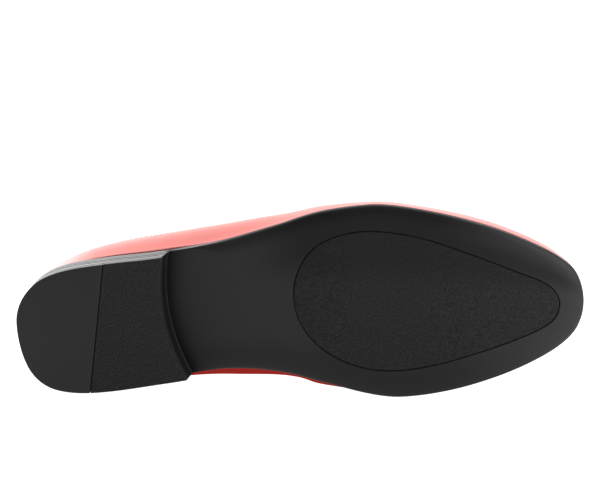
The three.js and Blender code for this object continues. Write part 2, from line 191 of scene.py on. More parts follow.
# vectors divided by their lengths
def unit(vectors):
    return vectors / np.linalg.norm(vectors, axis=-1, keepdims=True)


# ring moved inwards along its own normals in plan
def inset(ring, by):
    along = unit(np.roll(ring, -1, 0) - np.roll(ring, 1, 0))
    return ring + np.stack([along[:, 1], -along[:, 0]], 1) * np.reshape(by, (-1, 1))


# seat, waist, ball and toe spring: a smooth step down from the heel, then a square law up to the toe
def soleProfile(x):
    waist = shoe["heelHeight"] * ramp(x, shoe["ballStart"], shoe["seatEnd"])
    spring = np.maximum(0, (x - shoe["ballEnd"]) / (shoe["length"] - shoe["ballEnd"])) ** 2
    return waist + shoe["toeSpring"] * spring


# the profile, raised by the sole's thickness
def soleTop(x):
    return soleProfile(x) + shoe["soleThickness"]


# folded midline of a ring: the mean of each point and its mate across, drawn in a little at both ends
def spine(ring, drawIn=0.93):
    mate = ring[-np.arange(len(ring)) % len(ring)]
    middle = (ring + mate) / 2
    centre = middle[:, 0].mean()
    return np.stack([centre + (middle[:, 0] - centre) * drawIn, middle[:, 1]], 1)


# quads between each ring of a stack and the next
def stackQuads(rows, count, closeRows=False):
    i = np.arange(count)
    j = (i + 1) % count
    k = np.arange(rows if closeRows else rows - 1)[:, None]
    low, high = k * count, (k + 1) % rows * count
    return np.stack([low + i, low + j, high + j, high + i], -1).reshape(-1, 4)


# mesh object from upright points and faces, with marks on its points for the finish: doubles merged, faces
# turned outwards, smooth, laid on its side
def makePiece(name, points, faces, material, replaced=(), merge=1e-6, marks=None):
    mesh = bpy.data.meshes.new(name)
    mesh.from_pydata(laid(points).tolist(), [], [list(face) for face in faces])
    for label, values in (marks or {}).items():
        mesh.attributes.new(label, "FLOAT", "POINT").data.foreach_set("value", np.array(values, np.float32))
    worked = bmesh.new()
    worked.from_mesh(mesh)
    bmesh.ops.remove_doubles(worked, verts=worked.verts, dist=merge)
    bmesh.ops.recalc_face_normals(worked, faces=worked.faces)
    worked.to_mesh(mesh)
    worked.free()
    mesh.shade_smooth()
    mesh.materials.append(material)
    piece = bpy.data.objects.new(name, mesh)
    bpy.context.scene.collection.objects.link(piece)
    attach(piece, "root")
    if replaced:
        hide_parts(*replaced)
    print("made", name, len(mesh.polygons), "faces")
    return piece


# rounds every edge sharper than the limit
def roundEdges(piece, width, limit=50, segments=3):
    bevel = piece.modifiers.new("rounded edges", "BEVEL")
    bevel.width = width
    bevel.segments = segments
    bevel.limit_method = "ANGLE"
    bevel.angle_limit = radians(limit)
    bevel.harden_normals = True


# one output socket of a node tree: arithmetic on it adds Math nodes, node() adds any other kind
class Wire:
    def __init__(self, tree, socket=None):
        self.tree = tree
        self.socket = socket

    def node(self, kind, settings=None, sockets=None, out=0):
        made = self.tree.nodes.new(kind)
        for key, value in (settings or {}).items():
            if key == "stops":  # of a ramp: place and colour
                elements = made.color_ramp.elements
                while len(elements) < len(value):
                    elements.new(0.5)
                for element, (place, colour) in zip(elements, value):
                    element.position, element.color = place, colour
            else:
                setattr(made, key, value)
        for key, value in (sockets or {}).items():
            if isinstance(value, Wire):
                self.tree.links.new(value.socket, made.inputs[key])
            else:
                made.inputs[key].default_value = value
        return Wire(self.tree, made.outputs[out] if made.outputs else None)

    def math(self, operation, first, second):
        return self.node("ShaderNodeMath", {"operation": operation}, {0: first, 1: second})

    def __add__(self, other):
        return self.math("ADD", self, other)

    def __sub__(self, other):
        return self.math("SUBTRACT", self, other)

    def __rsub__(self, other):
        return self.math("SUBTRACT", other, self)

    def __mul__(self, other):
        return self.math("MULTIPLY", self, other)

    def __pow__(self, other):
        return self.math("POWER", self, other)

    __radd__ = __add__
    __rmul__ = __mul__


# object coordinates turned back to the upright shoe, so that a pattern follows its length and height
def uprightCoords(nodes):
    back = lieTurn.transposed()
    place = nodes.node("ShaderNodeTexCoord", out=3)
    return nodes.node("ShaderNodeMapping", {}, {
        "Vector": place,
        "Location": tuple(-(back @ Vector(lieShift))),
        "Rotation": tuple(back.to_euler("XYZ")),
    })


# coordinates scaled by their own factor along each axis
def stretched(nodes, coords, scale):
    return nodes.node("ShaderNodeMapping", {}, {"Vector": coords, "Scale": scale})


# sum of finer and finer noise, 0 to 1
def noise(nodes, coords, scale, detail=2.0, roughness=0.5):
    return nodes.node("ShaderNodeTexNoise", {}, {
        "Vector": coords, "Scale": scale, "Detail": detail, "Roughness": roughness,
    })


# distance to the nearest cell's point, or to its edge
def cells(nodes, coords, scale, feature):
    return nodes.node("ShaderNodeTexVoronoi", {"feature": feature}, {"Vector": coords, "Scale": scale})


# mix of two colours, each a tuple or a wire
def mixed(nodes, share, first, second):
    first, second = (c if isinstance(c, Wire) else (*c, 1) for c in (first, second))
    return nodes.node("ShaderNodeMix", {"data_type": "RGBA"}, {0: share, 6: first, 7: second}, 2)


# 0 up to the low value, 1 from the high one, a smooth step between
def rising(nodes, value, low, high):
    return nodes.node("ShaderNodeMapRange", {"interpolation_type": "SMOOTHSTEP"}, {
        0: value, 1: low, 2: high,
    })


# normals tilted by the slope of a height, whose 1 stands for the distance
def bumped(nodes, height, distance):
    return nodes.node("ShaderNodeBump", {}, {"Height": height, "Distance": distance, "Strength": 1.0})


# number stored on a piece's points
def mark(nodes, name):
    return nodes.node("ShaderNodeAttribute", {"attribute_name": name}, out=2)


# a leather's fibre, and its grain: the root of the distance to a cell's edge, with a share of fibre
def leatherGrain(nodes, coords, look):
    cell = cells(nodes, coords, look["grainScale"], "DISTANCE_TO_EDGE")
    fibre = noise(nodes, coords, look["fibreScale"], look["fibreDetail"])
    return fibre, cell ** 0.5 * look["grainShare"] + fibre * look["fibreShare"]


# new material with one Principled shader, or with two mixed by a mark, the second in the state that the
# mark names; fill() gets the tree and gives the sockets' values and links
def finish(name, fill, mixMark=None):
    material = bpy.data.materials.new(name)
    material.use_nodes = True
    material.node_tree.nodes.clear()
    nodes = Wire(material.node_tree)
    shader = nodes.node("ShaderNodeBsdfPrincipled", {}, fill(nodes))
    if mixMark:
        marked = nodes.node("ShaderNodeBsdfPrincipled", {}, fill(nodes, mixMark))
        shader = nodes.node("ShaderNodeMixShader", {}, {0: mark(nodes, mixMark), 1: shader, 2: marked})
    nodes.node("ShaderNodeOutputMaterial", {}, {"Surface": shader})
    return material


# satin black rubber: a faint mould haze in the colour, a fine skin in bump and roughness
soleRubberLook = {
    "dark": (0.002, 0.002, 0.002),
    "pale": (0.006, 0.006, 0.0062),
    "hazeScale": 22,
    "hazeRoughness": 0.1,
    "skinScale": 1300,
    "skinRoughness": 0.12,
    "skinDepth": 0.00003,
    "satin": {"roughness": 0.34, "gloss": 0.27},
    "dull": {"roughness": 0.55, "gloss": 0.05},  # less gloss, so darker: painted shade
}


# the haze mixes the two blacks; the roughness is the state's own plus shares of haze and skin
def soleRubberFill(nodes, state="satin"):
    look = soleRubberLook
    coords = uprightCoords(nodes)
    haze = noise(nodes, coords, look["hazeScale"], detail=4)
    skin = noise(nodes, coords, look["skinScale"], detail=3, roughness=0.6)
    return {
        "Base Color": mixed(nodes, haze, look["dark"], look["pale"]),
        "Roughness": look[state]["roughness"] + haze * look["hazeRoughness"] + skin * look["skinRoughness"],
        "Specular IOR Level": look[state]["gloss"],
        "Normal": bumped(nodes, skin, look["skinDepth"]),
    }


# matte tread rubber: small pebbles between fine creases, with paler specks
treadRubberLook = {
    "dark": (0.003, 0.003, 0.003),
    "pale": (0.023, 0.023, 0.023),
    "shade": 0.4,  # painted shade: share of the specks' paleness that is lost along the lateral side of the pad
    "pebbleScale": 1000,
    "pebbleShare": 0.6,
    "pebbleDepth": 0.00026,
    "speckScale": 950,
    "speckRange": (0.32, 0.68),
    "speckShare": 0.5,
    "speckRoughness": 0.25,
    "roughness": 0.58,
    "polishedBy": 0.26,
    "gloss": 0.12,
}


# the grain is a weighted sum of pebbles and specks, and is gone where the rubber is polished
def treadRubberFill(nodes):
    look = treadRubberLook
    coords = uprightCoords(nodes)
    pebble = cells(nodes, coords, look["pebbleScale"], "SMOOTH_F1")
    speck = noise(nodes, coords, look["speckScale"], detail=4, roughness=0.8)
    speck = rising(nodes, speck, *look["speckRange"])
    polish = mark(nodes, "polish")  # 1 on the walls of a lift
    shade = mark(nodes, "shade")  # 1 where shade is painted along the lateral side of the pad
    grain = ((1 - pebble) * look["pebbleShare"] + speck * look["speckShare"]) * (1 - polish)
    return {
        "Base Color": mixed(nodes, speck * (1 - shade * look["shade"]), look["dark"], look["pale"]),
        "Roughness": look["roughness"] + speck * look["speckRoughness"] - polish * look["polishedBy"],
        "Specular IOR Level": look["gloss"],
        "Normal": bumped(nodes, grain, look["pebbleDepth"]),
    }


# edge of the stacked heel: thin layers as streaks along the side, polished
heelEdgeLook = {
    "dark": (0.005, 0.005, 0.005),
    "pale": (0.01, 0.0099, 0.0099),
    "layerScale": (14, 14, 900),  # drawn out along the side, thin in height
    "layerRoughness": 0.08,
    "layerDepth": 0.000012,
    "skinScale": 1400,
    "skinShare": 0.4,
    "roughness": 0.34,
    "polishedBy": 0.06,
    "gloss": 0.1,
}


# the layers mix the two blacks, and make the bump together with a share of the skin
def heelEdgeFill(nodes):
    look = heelEdgeLook
    coords = uprightCoords(nodes)
    layer = noise(nodes, stretched(nodes, coords, look["layerScale"]), 1, detail=3, roughness=0.6)
    skin = noise(nodes, coords, look["skinScale"])
    polish = mark(nodes, "polish")  # 0 on the breast
    return {
        "Base Color": mixed(nodes, layer, look["dark"], look["pale"]),
        "Roughness": look["roughness"] - polish * look["polishedBy"] + layer * look["layerRoughness"],
        "Specular IOR Level": look["gloss"],
        "Normal": bumped(nodes, layer + skin * look["skinShare"], look["layerDepth"]),
    }


# red leather: fine hair cells in bump, slow shifts of the dye, painted shade along the lower edge, and a
# thin dressing as
# # coat; under the arch and where the leather faces up, painted shade takes the coat away and darkens the
# red
redLeatherLook = {
    "deep": (0.34, 0.028, 0.016),
    "bright": (0.47, 0.045, 0.026),
    # painted shade: darker red under the arch and where the leather faces up
    "shadedRed": (0.275, 0.019, 0.014),
    # painted shade along the feather line
    "hem": (0.07, 0.018, 0.016),
    "dyeScale": 34,
    "grainScale": 1500,
    "grainShare": 0.7,
    "grainDepth": 0.00007,
    "fibreScale": 2600,
    "fibreDetail": 2,
    "fibreShare": 0.3,
    "fibreRoughness": 0.14,
    "roughness": 0.4,
    "dressed": {"roughness": 0.48, "ior": 1.5},
    "polish": {"roughness": 0.36, "ior": 1.9},
}


# the dye mixes two reds, the dressing mixes those with the painted shade's darker red, and the painted
# shade at the feather mixes all of it with its dark colour
def redLeatherFill(nodes, state="dressed"):
    look = redLeatherLook
    coords = uprightCoords(nodes)
    dye = noise(nodes, coords, look["dyeScale"], detail=4, roughness=0.6)
    fibre, grain = leatherGrain(nodes, coords, look)
    # painted shade along the feather line
    hem = mark(nodes, "hem")
    # 1 where the dressing shows, 0 where shade is painted in the arch, at the feather and where the leather
    # faces up
    dressing = mark(nodes, "dressing")
    red = mixed(nodes, dressing, look["shadedRed"], mixed(nodes, dye, look["deep"], look["bright"]))
    return {
        "Base Color": mixed(nodes, hem, red, look["hem"]),
        "Roughness": look["roughness"] + fibre * look["fibreRoughness"],
        "Specular IOR Level": 0.0,  # only the coat shines
        "Coat Weight": dressing,
        "Coat Roughness": look[state]["roughness"],
        "Coat IOR": look[state]["ior"],
        "Normal": bumped(nodes, grain, look["grainDepth"]),
    }


# natural leather of the lining and the insole: soft grain, matte
tanLeatherLook = {
    "deep": (0.36, 0.21, 0.1),
    "bright": (0.52, 0.33, 0.175),
    "toneScale": 48,
    "grainScale": 1100,
    "grainShare": 0.6,
    "grainDepth": 0.00008,
    "fibreScale": 1900,
    "fibreDetail": 3,
    "fibreShare": 0.4,
    "fibreRoughness": 0.2,
    "roughness": 0.6,
}


# the tone mixes two tans; no dressing
def tanLeatherFill(nodes):
    look = tanLeatherLook
    coords = uprightCoords(nodes)
    tone = noise(nodes, coords, look["toneScale"], detail=5, roughness=0.6)
    fibre, grain = leatherGrain(nodes, coords, look)
    return {
        "Base Color": mixed(nodes, tone, look["deep"], look["bright"]),
        "Roughness": look["roughness"] + fibre * look["fibreRoughness"],
        "Normal": bumped(nodes, grain, look["grainDepth"]),
    }


# waxed thread: twisted plies as fine slanted bands
threadLook = {
    "deep": (0.24, 0.012, 0.008),
    "bright": (0.5, 0.03, 0.02),
    "plyScale": 1500,
    "plyWander": 1.5,
    "plyDepth": 0.00006,
    "plyRoughness": 0.15,
    "roughness": 0.55,
}


# one wave for the plies goes into colour, roughness and bump
def threadFill(nodes):
    look = threadLook
    coords = uprightCoords(nodes)
    ply = nodes.node("ShaderNodeTexWave", {"bands_direction": "DIAGONAL"}, {
        "Vector": coords, "Scale": look["plyScale"], "Distortion": look["plyWander"],
    }, 1)
    return {
        "Base Color": mixed(nodes, ply, look["deep"], look["bright"]),
        "Roughness": look["roughness"] + ply * look["plyRoughness"],
        "Normal": bumped(nodes, ply, look["plyDepth"]),
    }


# the sole's dull state has less gloss and paints shade where its mark is high
soleRubber = finish("sole rubber", soleRubberFill, "dull")
treadRubber = finish("tread rubber", treadRubberFill)
heelEdge = finish("stacked heel edge", heelEdgeFill)
redLeather = finish("red leather", redLeatherFill, "polish")
tanLeather = finish("tan leather", tanLeatherFill)
thread = finish("red thread", threadFill)
print("finishes ready")

# Outsole
outsoleSizes = {
    "rearStations": 120,  # behind the pad
    "padStations": 84,  # along the pad
    "fieldRings": 20,
    "slitStart": 0.014,
    "rollWidth": 0.009,  # the bottom edge rolls up over this width in front of the heel
    "rollRise": 0.0024,
    "rollSteps": 11,
    "seatEdge": 0.0004,  # and is only just rounded round the seat
    "wallShares": (0.33, 0.67, 1.0),
    "topRound": 0.0005,
    "topSteps": 4,
    "topInsets": (0.004, 0.012),
    "crown": 0.001,  # the waist is fuller along its middle
    "crownIn": 0.025,
    "crownOut": 0.04,
    "recessDepth": 0.0023,
    "lipRound": 0.0005,
    "lipSteps": 5,
    "lateralDullShade": 0.56,  # painted shade: the lateral half of the forepart has less gloss
    "lateralAcross": (-0.1, -0.6),
    "lateralAlong": (0.115, 0.16),
    "toeRimAlong": (0.225, 0.26),  # but for the rim of the toe
    "toeRimWidth": (0.014, 0.002),
    "medialDullShade": 0.25,  # the medial margin as far as the toe
    "medialAcross": (0.4, 0.8),
    "medialAlong": (0.26, 0.23),
    "wallDullShade": 0.85,  # the wall in front of the heel
    "wallRise": (0.833, 1),  # in rises of the roll
    "wallAlong": (0.095, 0.12),
    "footFade": 0.0055,  # and painted shade on the waist near the foot of the breast
    "footBehind": (-0.004, 0),
}


# how far across the sole a point is: 1 at the medial edge, -1 at the lateral edge
def acrossSole(x, y):
    medial, lateral = (edgeAt(soleOutline, side, x / shoe["length"]) for side in ("medial", "lateral"))
    return (2 * y - medial - lateral) / np.maximum(medial - lateral, 2e-6)  # not 0 at the tips


# the profile, lowered along the middle of the waist by a parabola across
def soleBottom(x, y):
    waist = smoothStep((x - shoe["seatEnd"]) / outsoleSizes["crownIn"])
    waist = waist * smoothStep((shoe["ballStart"] - x) / outsoleSizes["crownOut"])
    return soleProfile(x) - outsoleSizes["crown"] * waist * np.maximum(0, 1 - acrossSole(x, y) ** 2)


# plan ring lifted to a height that is a function of its points
def lifted(ring, height):
    return np.column_stack([ring, height(ring[:, 0], ring[:, 1])])


# height function: the sole's bottom, raised by a fixed amount
def overBottom(rise=0.0):
    return lambda x, y: soleBottom(x, y) + rise


# stations of the sole, in step with the pad's own along the pad
def soleStations():
    padRear = padOutline["at"][0]
    rear, along = endShares(outsoleSizes["rearStations"]), endShares(outsoleSizes["padStations"])
    return np.concatenate([rear * padRear, padRear + (1 - padRear) * along[1:]])


# ring that pairs with the sole's edge: along the sole's midline to the rear of the pad's lip, round the
# lip, and back along the midline
def slitRing(edge, lip):
    rear = outsoleSizes["rearStations"]
    share = edge[:rear, 0] / edge[rear, 0]
    x = outsoleSizes["slitStart"] + (lip[0, 0] - outsoleSizes["slitStart"]) * share
    mate = edge[-np.arange(rear) % len(edge)]
    middle = (edge[:rear, 1] + mate[:, 1]) / 2
    slit = np.stack([x, middle + (lip[0, 1] - middle) * smoothStep(share * 2 - 1)], 1)
    return np.concatenate([slit, lip, lip[:1], slit[1:][::-1]])


# share of the dull finish that paints shade, the greatest of four: smooth steps to the lateral side, less a
# rim round the toe,
# # to the medial margin, and to the wall, and an exponential fall ahead of the breast with a short step
# # behind it
def soleDullShade(x, y, z):
    s = outsoleSizes
    across = acrossSole(x, y)
    lateral = edgeAt(soleOutline, "lateral", x / shoe["length"])
    toeRim = ramp(x, *s["toeRimAlong"]) * ramp(y - lateral, *s["toeRimWidth"])
    ahead = x - breastArc(heelSizes["breastBack"] + heelSizes["breastRake"] + heelSizes["lipDepth"], y)
    rise = (z - soleBottom(x, y)) / s["rollRise"]
    return np.maximum.reduce([
        s["lateralDullShade"] * ramp(across, *s["lateralAcross"]) * ramp(x, *s["lateralAlong"]) * (1 - toeRim),
        s["medialDullShade"] * ramp(across, *s["medialAcross"]) * ramp(x, *s["medialAlong"]),
        s["wallDullShade"] * ramp(rise, *s["wallRise"]) * ramp(x, *s["wallAlong"]),
        np.exp(-np.maximum(ahead, 0) / s["footFade"]) * ramp(ahead, *s["footBehind"]),
    ])


# two stacks of rings: the recess up to its rounded lip, then from the lip and the midline across the
# bottom, round the rolled edge, up the side and over the top
def makeOutsole():
    s = outsoleSizes
    edge = planRing(soleOutline, soleStations())
    pad = planRing(padOutline, endShares(s["padStations"]))
    recess = inset(pad, -shoe["fitGap"])
    inner = [lifted(ring, overBottom(s["recessDepth"])) for ring in (spine(recess), recess)]
    for turn in quarterTurn(s["lipSteps"]):
        lip = inset(pad, -shoe["fitGap"] - s["lipRound"] * (1 - cos(turn)))
        inner.append(lifted(lip, overBottom(s["lipRound"] * (1 - sin(turn)))))
    forepart = smoothStep((edge[:, 0] - shoe["seatEnd"]) / s["crownIn"])
    width = s["seatEdge"] + (s["rollWidth"] - s["seatEdge"]) * forepart
    rise = s["seatEdge"] + (s["rollRise"] - s["seatEdge"]) * forepart
    start, roll = slitRing(edge, lip), inset(edge, width)
    shares = np.linspace(0, 1, s["fieldRings"] + 1)
    rings = [lifted(start + (roll - start) * share, overBottom()) for share in shares]
    for turn in quarterTurn(s["rollSteps"])[1:]:
        rings.append(lifted(inset(edge, width * (1 - sin(turn))), overBottom(rise * (1 - cos(turn)))))
    low = rings[-1][:, 2]
    high = soleTop(edge[:, 0]) - s["topRound"]
    for share in s["wallShares"]:
        rings.append(np.column_stack([edge, low + (high - low) * share]))
    for turn in quarterTurn(s["topSteps"])[1:]:
        ring = inset(edge, s["topRound"] * (1 - cos(turn)))
        rings.append(lifted(ring, lambda x, y: soleTop(x) - s["topRound"] * (1 - sin(turn))))
    for by in s["topInsets"]:
        ring = inset(edge, by)
        rings.append(lifted(ring, lambda x, y: soleTop(x)))
    rings.append(lifted(spine(ring), lambda x, y: soleTop(x)))
    inner, outer = np.array(inner), np.array(rings)
    points = np.concatenate([inner.reshape(-1, 3), outer.reshape(-1, 3)])
    outerFaces = stackQuads(*outer.shape[:2]) + inner[..., 0].size
    faces = np.concatenate([stackQuads(*inner.shape[:2]), outerFaces])
    return makePiece("outsole_skin", points, faces, soleRubber, ["outsole"],
                     marks={"dull": soleDullShade(*points.T)})


# Tread pad
padSizes = {
    "rings": 30,
    "thickness": 0.002,
    "edgeRound": 0.0005,
    "edgeSteps": 5,
    "shadeAcross": (-0.1, -0.5),  # painted shade: the grain is darker along the lateral side
}


# tread face from its midline out, rounded edge, wall and back
def makePad():
    s = padSizes
    edge = planRing(padOutline, endShares(outsoleSizes["padStations"]))
    rim = inset(edge, s["edgeRound"])
    middle = spine(rim)
    shares = np.linspace(0, 1, s["rings"])
    rings = [lifted(middle + (rim - middle) * share, overBottom()) for share in shares]
    for turn in quarterTurn(s["edgeSteps"])[1:]:
        ring = inset(edge, s["edgeRound"] * (1 - sin(turn)))
        rings.append(lifted(ring, overBottom(s["edgeRound"] * (1 - cos(turn)))))
    rings.append(lifted(edge, overBottom(s["thickness"])))
    rings.append(lifted(spine(edge), overBottom(s["thickness"])))
    stack = np.array(rings)
    points = stack.reshape(-1, 3)
    shade = ramp(acrossSole(points[:, 0], points[:, 1]), *s["shadeAcross"])
    return makePiece("tread_pad", points, stackQuads(*stack.shape[:2]), treadRubber,
                     ["forefoot_pad"], marks={"shade": shade})


# Heel
heelSizes = {
    "breastBack": 0.0783,
    "breastMiddle": -0.007,
    "breastRadius": 0.101,
    "breastRake": 0.0015,
    "liftThickness": 0.005,
    "splitMedial": 0.0378,
    "splitLateral": 0.0486,
    "treadRound": 0.0005,
    "treadSteps": 5,
    "stackLines": 2,
    "lineDepth": 0.00045,
    "lineHalf": 0.0006,
    "lipDepth": 0.0006,  # bead along the foot of the breast
    "lipHalf": 0.0007,
    "roundRows": 9,  # across a line or the bead
    "sideStations": 70,
    "breastStations": 48,
    "splitStations": 24,
    "cornerTries": 20,  # to close in on a corner of the breast
    "cornerRound": 0.0004,
}


# points along one edge of the sole between two places, spaced as a turning angle
def edgeWalk(side, fromX, toX, count):
    turns = np.linspace(*np.arccos(1 - 2 * np.array([fromX, toX]) / shoe["length"]), count + 1)
    return edgePoints(soleOutline, side, (1 - np.cos(turns)) / 2)


# the breast's circle: how far forward it is at each place across, from its rearmost point
def breastArc(back, y):
    s = heelSizes
    return back + s["breastRadius"] - np.sqrt(s["breastRadius"] ** 2 - (y - s["breastMiddle"]) ** 2)


# arc of the breast at a height, from the medial to the lateral edge of the sole; each corner is where arc
# and edge meet, found by going from one to the other
def breastWalk(z, forward=0.0):
    s = heelSizes
    back = s["breastBack"] + s["breastRake"] * z / shoe["heelHeight"] + forward

    def corner(side):
        x = back
        for _ in range(s["cornerTries"]):
            y = edgeAt(soleOutline, side, x / shoe["length"])
            x = breastArc(back, y)
        return y

    y = np.linspace(corner("medial"), corner("lateral"), s["breastStations"] + 1)
    return np.stack([breastArc(back, y), y], 1)


# closed outline of a heel piece that ends at the breast and starts at a place on each side
def heelRing(breast, lateralStart, medialStart):
    s = heelSizes
    lateral = edgeWalk("lateral", breast[-1, 0], lateralStart, s["sideStations"])[1:]
    medial = edgeWalk("medial", medialStart, breast[0, 0], s["sideStations"])[:-1]
    return np.concatenate([lateral, medial if lateralStart > 0 else medial[1:], breast])


# 1 along the sides of a heel piece's outline, 0 along its breast
def besideBreast(ring):
    return np.where(np.arange(len(ring)) < len(ring) - heelSizes["breastStations"] - 1, 1.0, 0.0)


# rings at their heights, closed by a flat face at each end
def makeHeelPiece(name, rings, heights, material, replaced, marks=None):
    stack = np.array([np.column_stack([ring, np.full(len(ring), z)]) for ring, z in zip(rings, heights)])
    rows, count = stack.shape[:2]
    ends = [np.arange(count)[::-1], np.arange(count) + (rows - 1) * count]
    faces = stackQuads(rows, count).tolist() + [end.tolist() for end in ends]
    piece = makePiece(name, stack.reshape(-1, 3), faces, material, replaced, marks=marks)
    roundEdges(piece, heelSizes["cornerRound"])
    return piece


# block between lift and seat: raised cosine grooves for the stack lines, a half round bead along the breast
def makeHeelBlock():
    s = heelSizes
    low = s["liftThickness"] + shoe["fitGap"]
    high = shoe["heelHeight"] - shoe["fitGap"]
    lines = low + (high - low) * np.arange(1, s["stackLines"] + 1) / (s["stackLines"] + 1)
    across = np.linspace(-1, 1, s["roundRows"])
    groove = across * s["lineHalf"]
    bead = high - s["lipHalf"] + across * s["lipHalf"]
    heights = np.unique(np.concatenate([[low, high], (lines[:, None] + groove).ravel(), bead]).round(7))
    sides = besideBreast(heelRing(breastWalk(low), 0, 0))  # the lines stop at the breast
    rings = []
    for z in heights:
        near = np.clip(np.abs(z - lines) / s["lineHalf"], 0, 1)
        depth = s["lineDepth"] * (0.5 + 0.5 * np.cos(pi * near)).sum()
        lip = s["lipDepth"] * np.sqrt(max(0, 1 - ((z - high + s["lipHalf"]) / s["lipHalf"]) ** 2))
        ring = heelRing(breastWalk(z, lip), 0, 0)
        rings.append(inset(ring, depth * sides))
    polish = {"polish": np.tile(sides, len(rings))}
    return makeHeelPiece("heel_stack", rings, heights, heelEdge, ["heel_block"], polish)


# heights and insets of a lift's rounded tread edge, then its straight wall
def liftRows():
    turns = quarterTurn(heelSizes["treadSteps"])
    r = heelSizes["treadRound"]
    heights = np.append(r * (1 - np.cos(turns)), heelSizes["liftThickness"])
    insets = np.append(r * (1 - np.sin(turns)), 0)
    return heights, insets


# rear half of the top piece: both edges of the sole round the back, closed by the slanted split
def makeRearLift():
    s = heelSizes
    lateral = edgeWalk("lateral", s["splitLateral"], 0, s["sideStations"])
    medial = edgeWalk("medial", 0, s["splitMedial"], s["sideStations"])[1:]
    chord = np.linspace(medial[-1], lateral[0], s["splitStations"])[1:-1]
    outline = np.concatenate([lateral, medial, chord])
    heights, insets = liftRows()
    rings = [inset(outline, by) for by in insets]
    return makeHeelPiece("heel_tip_rear", rings, heights, soleRubber, ["heel_lift_rear"])


# front half, from the split to the breast; its walls are polished, its breast and its tread are not
def makeFrontLift():
    s = heelSizes
    starts = (s["splitLateral"] + shoe["fitGap"], s["splitMedial"] + shoe["fitGap"])
    heights, insets = liftRows()
    rings = [inset(heelRing(breastWalk(z), *starts), by) for z, by in zip(heights, insets)]
    polish = {"polish": (besideBreast(rings[0]) * (insets == 0)[:, None]).ravel()}
    return makeHeelPiece("heel_tip_front", rings, heights, treadRubber, ["heel_lift_front"],
                         polish)


makeOutsole()
makePad()
makeHeelBlock()
makeRearLift()
makeFrontLift()

# Upper and lining
upperSizes = {
    "collarStations": 84,
    "vampStations": 72,
    "wallRows": 46,
    "skin": 0.0013,  # the red leather
    "wall": 0.002,  # leather and lining together
    "liningGap": 0.00005,
    "liningDrop": 0.0009,  # the lining stops this far below the topline
    "liningStart": 2,  # row of the margin where the lining starts, under the insole
    "edgeSteps": 7,  # over the topline
    "featherCorner": 0.0014,
    "cornerSteps": 5,
    "marginInsets": (0.009, 0.005, 0.001),  # beyond the corner
    "featherShadeStart": 0.0009,  # painted shade from the sole's edge on the lowest leather
    "featherShadeFade": 0.0024,
    "seatShadeStart": 0.0034,  # which reaches higher over the seat
    "seatShadeFade": 0.0016,
    "seatAlong": (0.105, 0.08),
    "archRear": (0.06, 0.08),  # painted shade low down in the arch: no dressing, and the darker red
    "archFront": (0.22, 0.2),
    "archAcross": (0, 0.01),
    "archHeight": (0.022, 0.012),
    "upShadeShare": 0.7,  # painted shade where the leather faces up: share of the dressing taken off there, with the darker red in its place
    "upShadeFacing": (0.15, 0.65),
    "polishAcross": (0.006, -0.009),  # the lowest leather on the lateral side is polished
    "polishHeight": (0.026, 0.014),
    "counterBulge": 0.0012,  # heel curve: a low swell, then a lean forwards
    "counterBulgeHeight": 0.022,
    "counterLean": 0.0065,
    "counterHeight": 0.06,
    "counterReach": 0.07,
}

# polish of that leather: shares of the length, and of the polished finish
polishRows = {
    "at": [0, 0.07, 0.13, 0.58, 0.79, 0.91, 0.96, 1],
    "share": [1, 1, 0, 0, 0.3, 0.3, 1, 1],
}


# the sole's top, with the gap of the cemented seam
def upperBase(x):
    return soleTop(x) + shoe["fitGap"]


throatShare = shoe["throat"] / shoe["length"]
stationShares = np.concatenate([
    endShares(upperSizes["collarStations"]) * throatShare,
    throatShare + (1 - throatShare) * endShares(upperSizes["vampStations"])[1:],
])
half = len(stationShares) - 1
ringShares = np.concatenate([stationShares, stationShares[1:-1][::-1]])  # each ring point's place along
ringOut = np.where(np.arange(len(ringShares)) <= half, 1.0, -1.0)  # medial or lateral
sameShare = 1e-9  # shares that differ by less are the same
behindThroat = ringShares < throatShare - sameShare
collar = ringShares <= throatShare + sameShare  # the ring points under the foot opening


# column of the last at each ring point, on that point's side
def sided(column, at=None):
    at = ringShares if at is None else at
    return np.where(ringOut > 0, through(lastSections, column + "Medial", at),
                    through(lastSections, column + "Lateral", at))


soleRing = planRing(soleOutline, stationShares)
feather = inset(soleRing, sided("reveal", soleRing[:, 0] / shoe["length"]))


# wall of the last at each ring point: a superellipse arc from the feather edge (share 0) to the topline or
# the ridge (share 1), plus a swell of its side (a hump, squared on the lateral side so that the wall starts
# upright) and, at the back, the heel curve
def lastWall(share):
    s = upperSizes
    at = ringShares
    base = upperBase(feather[:, 0]) + s["featherCorner"]
    top = through(lastSections, "crest", at) * shoe["instepHeight"]
    full = sided("fullness")
    middle = through(lastSections, "ridge", at) * shoe["ballWidth"]
    swellHeight = sided("swellHeight")
    edge = through(toplineRows, "height", at / throatShare, roundEnds=False)
    cut = np.where(behindThroat, np.clip((edge - base) / (top - base), 0, 1), 1.0)
    limit = np.arctan2(cut, (1 - cut ** full) ** (1 / full))
    angle = limit * share
    across = np.maximum(np.cos(angle), 0)
    size = (across ** full + np.sin(angle) ** full) ** (-1 / full)
    wide, high = size * across, size * np.sin(angle)
    height = (top - base) * high
    bulge = sided("swell") * hump(height / swellHeight) ** np.where(ringOut > 0, 1, 2) * across
    bulge = bulge * np.clip(np.abs(feather[:, 1] - middle) / swellHeight, 0, 1)
    ridgeX = feather[0, 0] + (feather[half, 0] - feather[0, 0]) * at
    counter = s["counterLean"] * (height / s["counterHeight"]) ** 2
    counter = counter - s["counterBulge"] * hump(height / s["counterBulgeHeight"])
    fade = np.clip(1 - at * shoe["length"] / s["counterReach"], 0, 1) ** 2
    x = feather[:, 0] + (ridgeX - feather[:, 0]) * high + counter * fade
    y = middle + (feather[:, 1] - middle) * wide + ringOut * bulge
    return np.stack([x, y, base + height], -1)


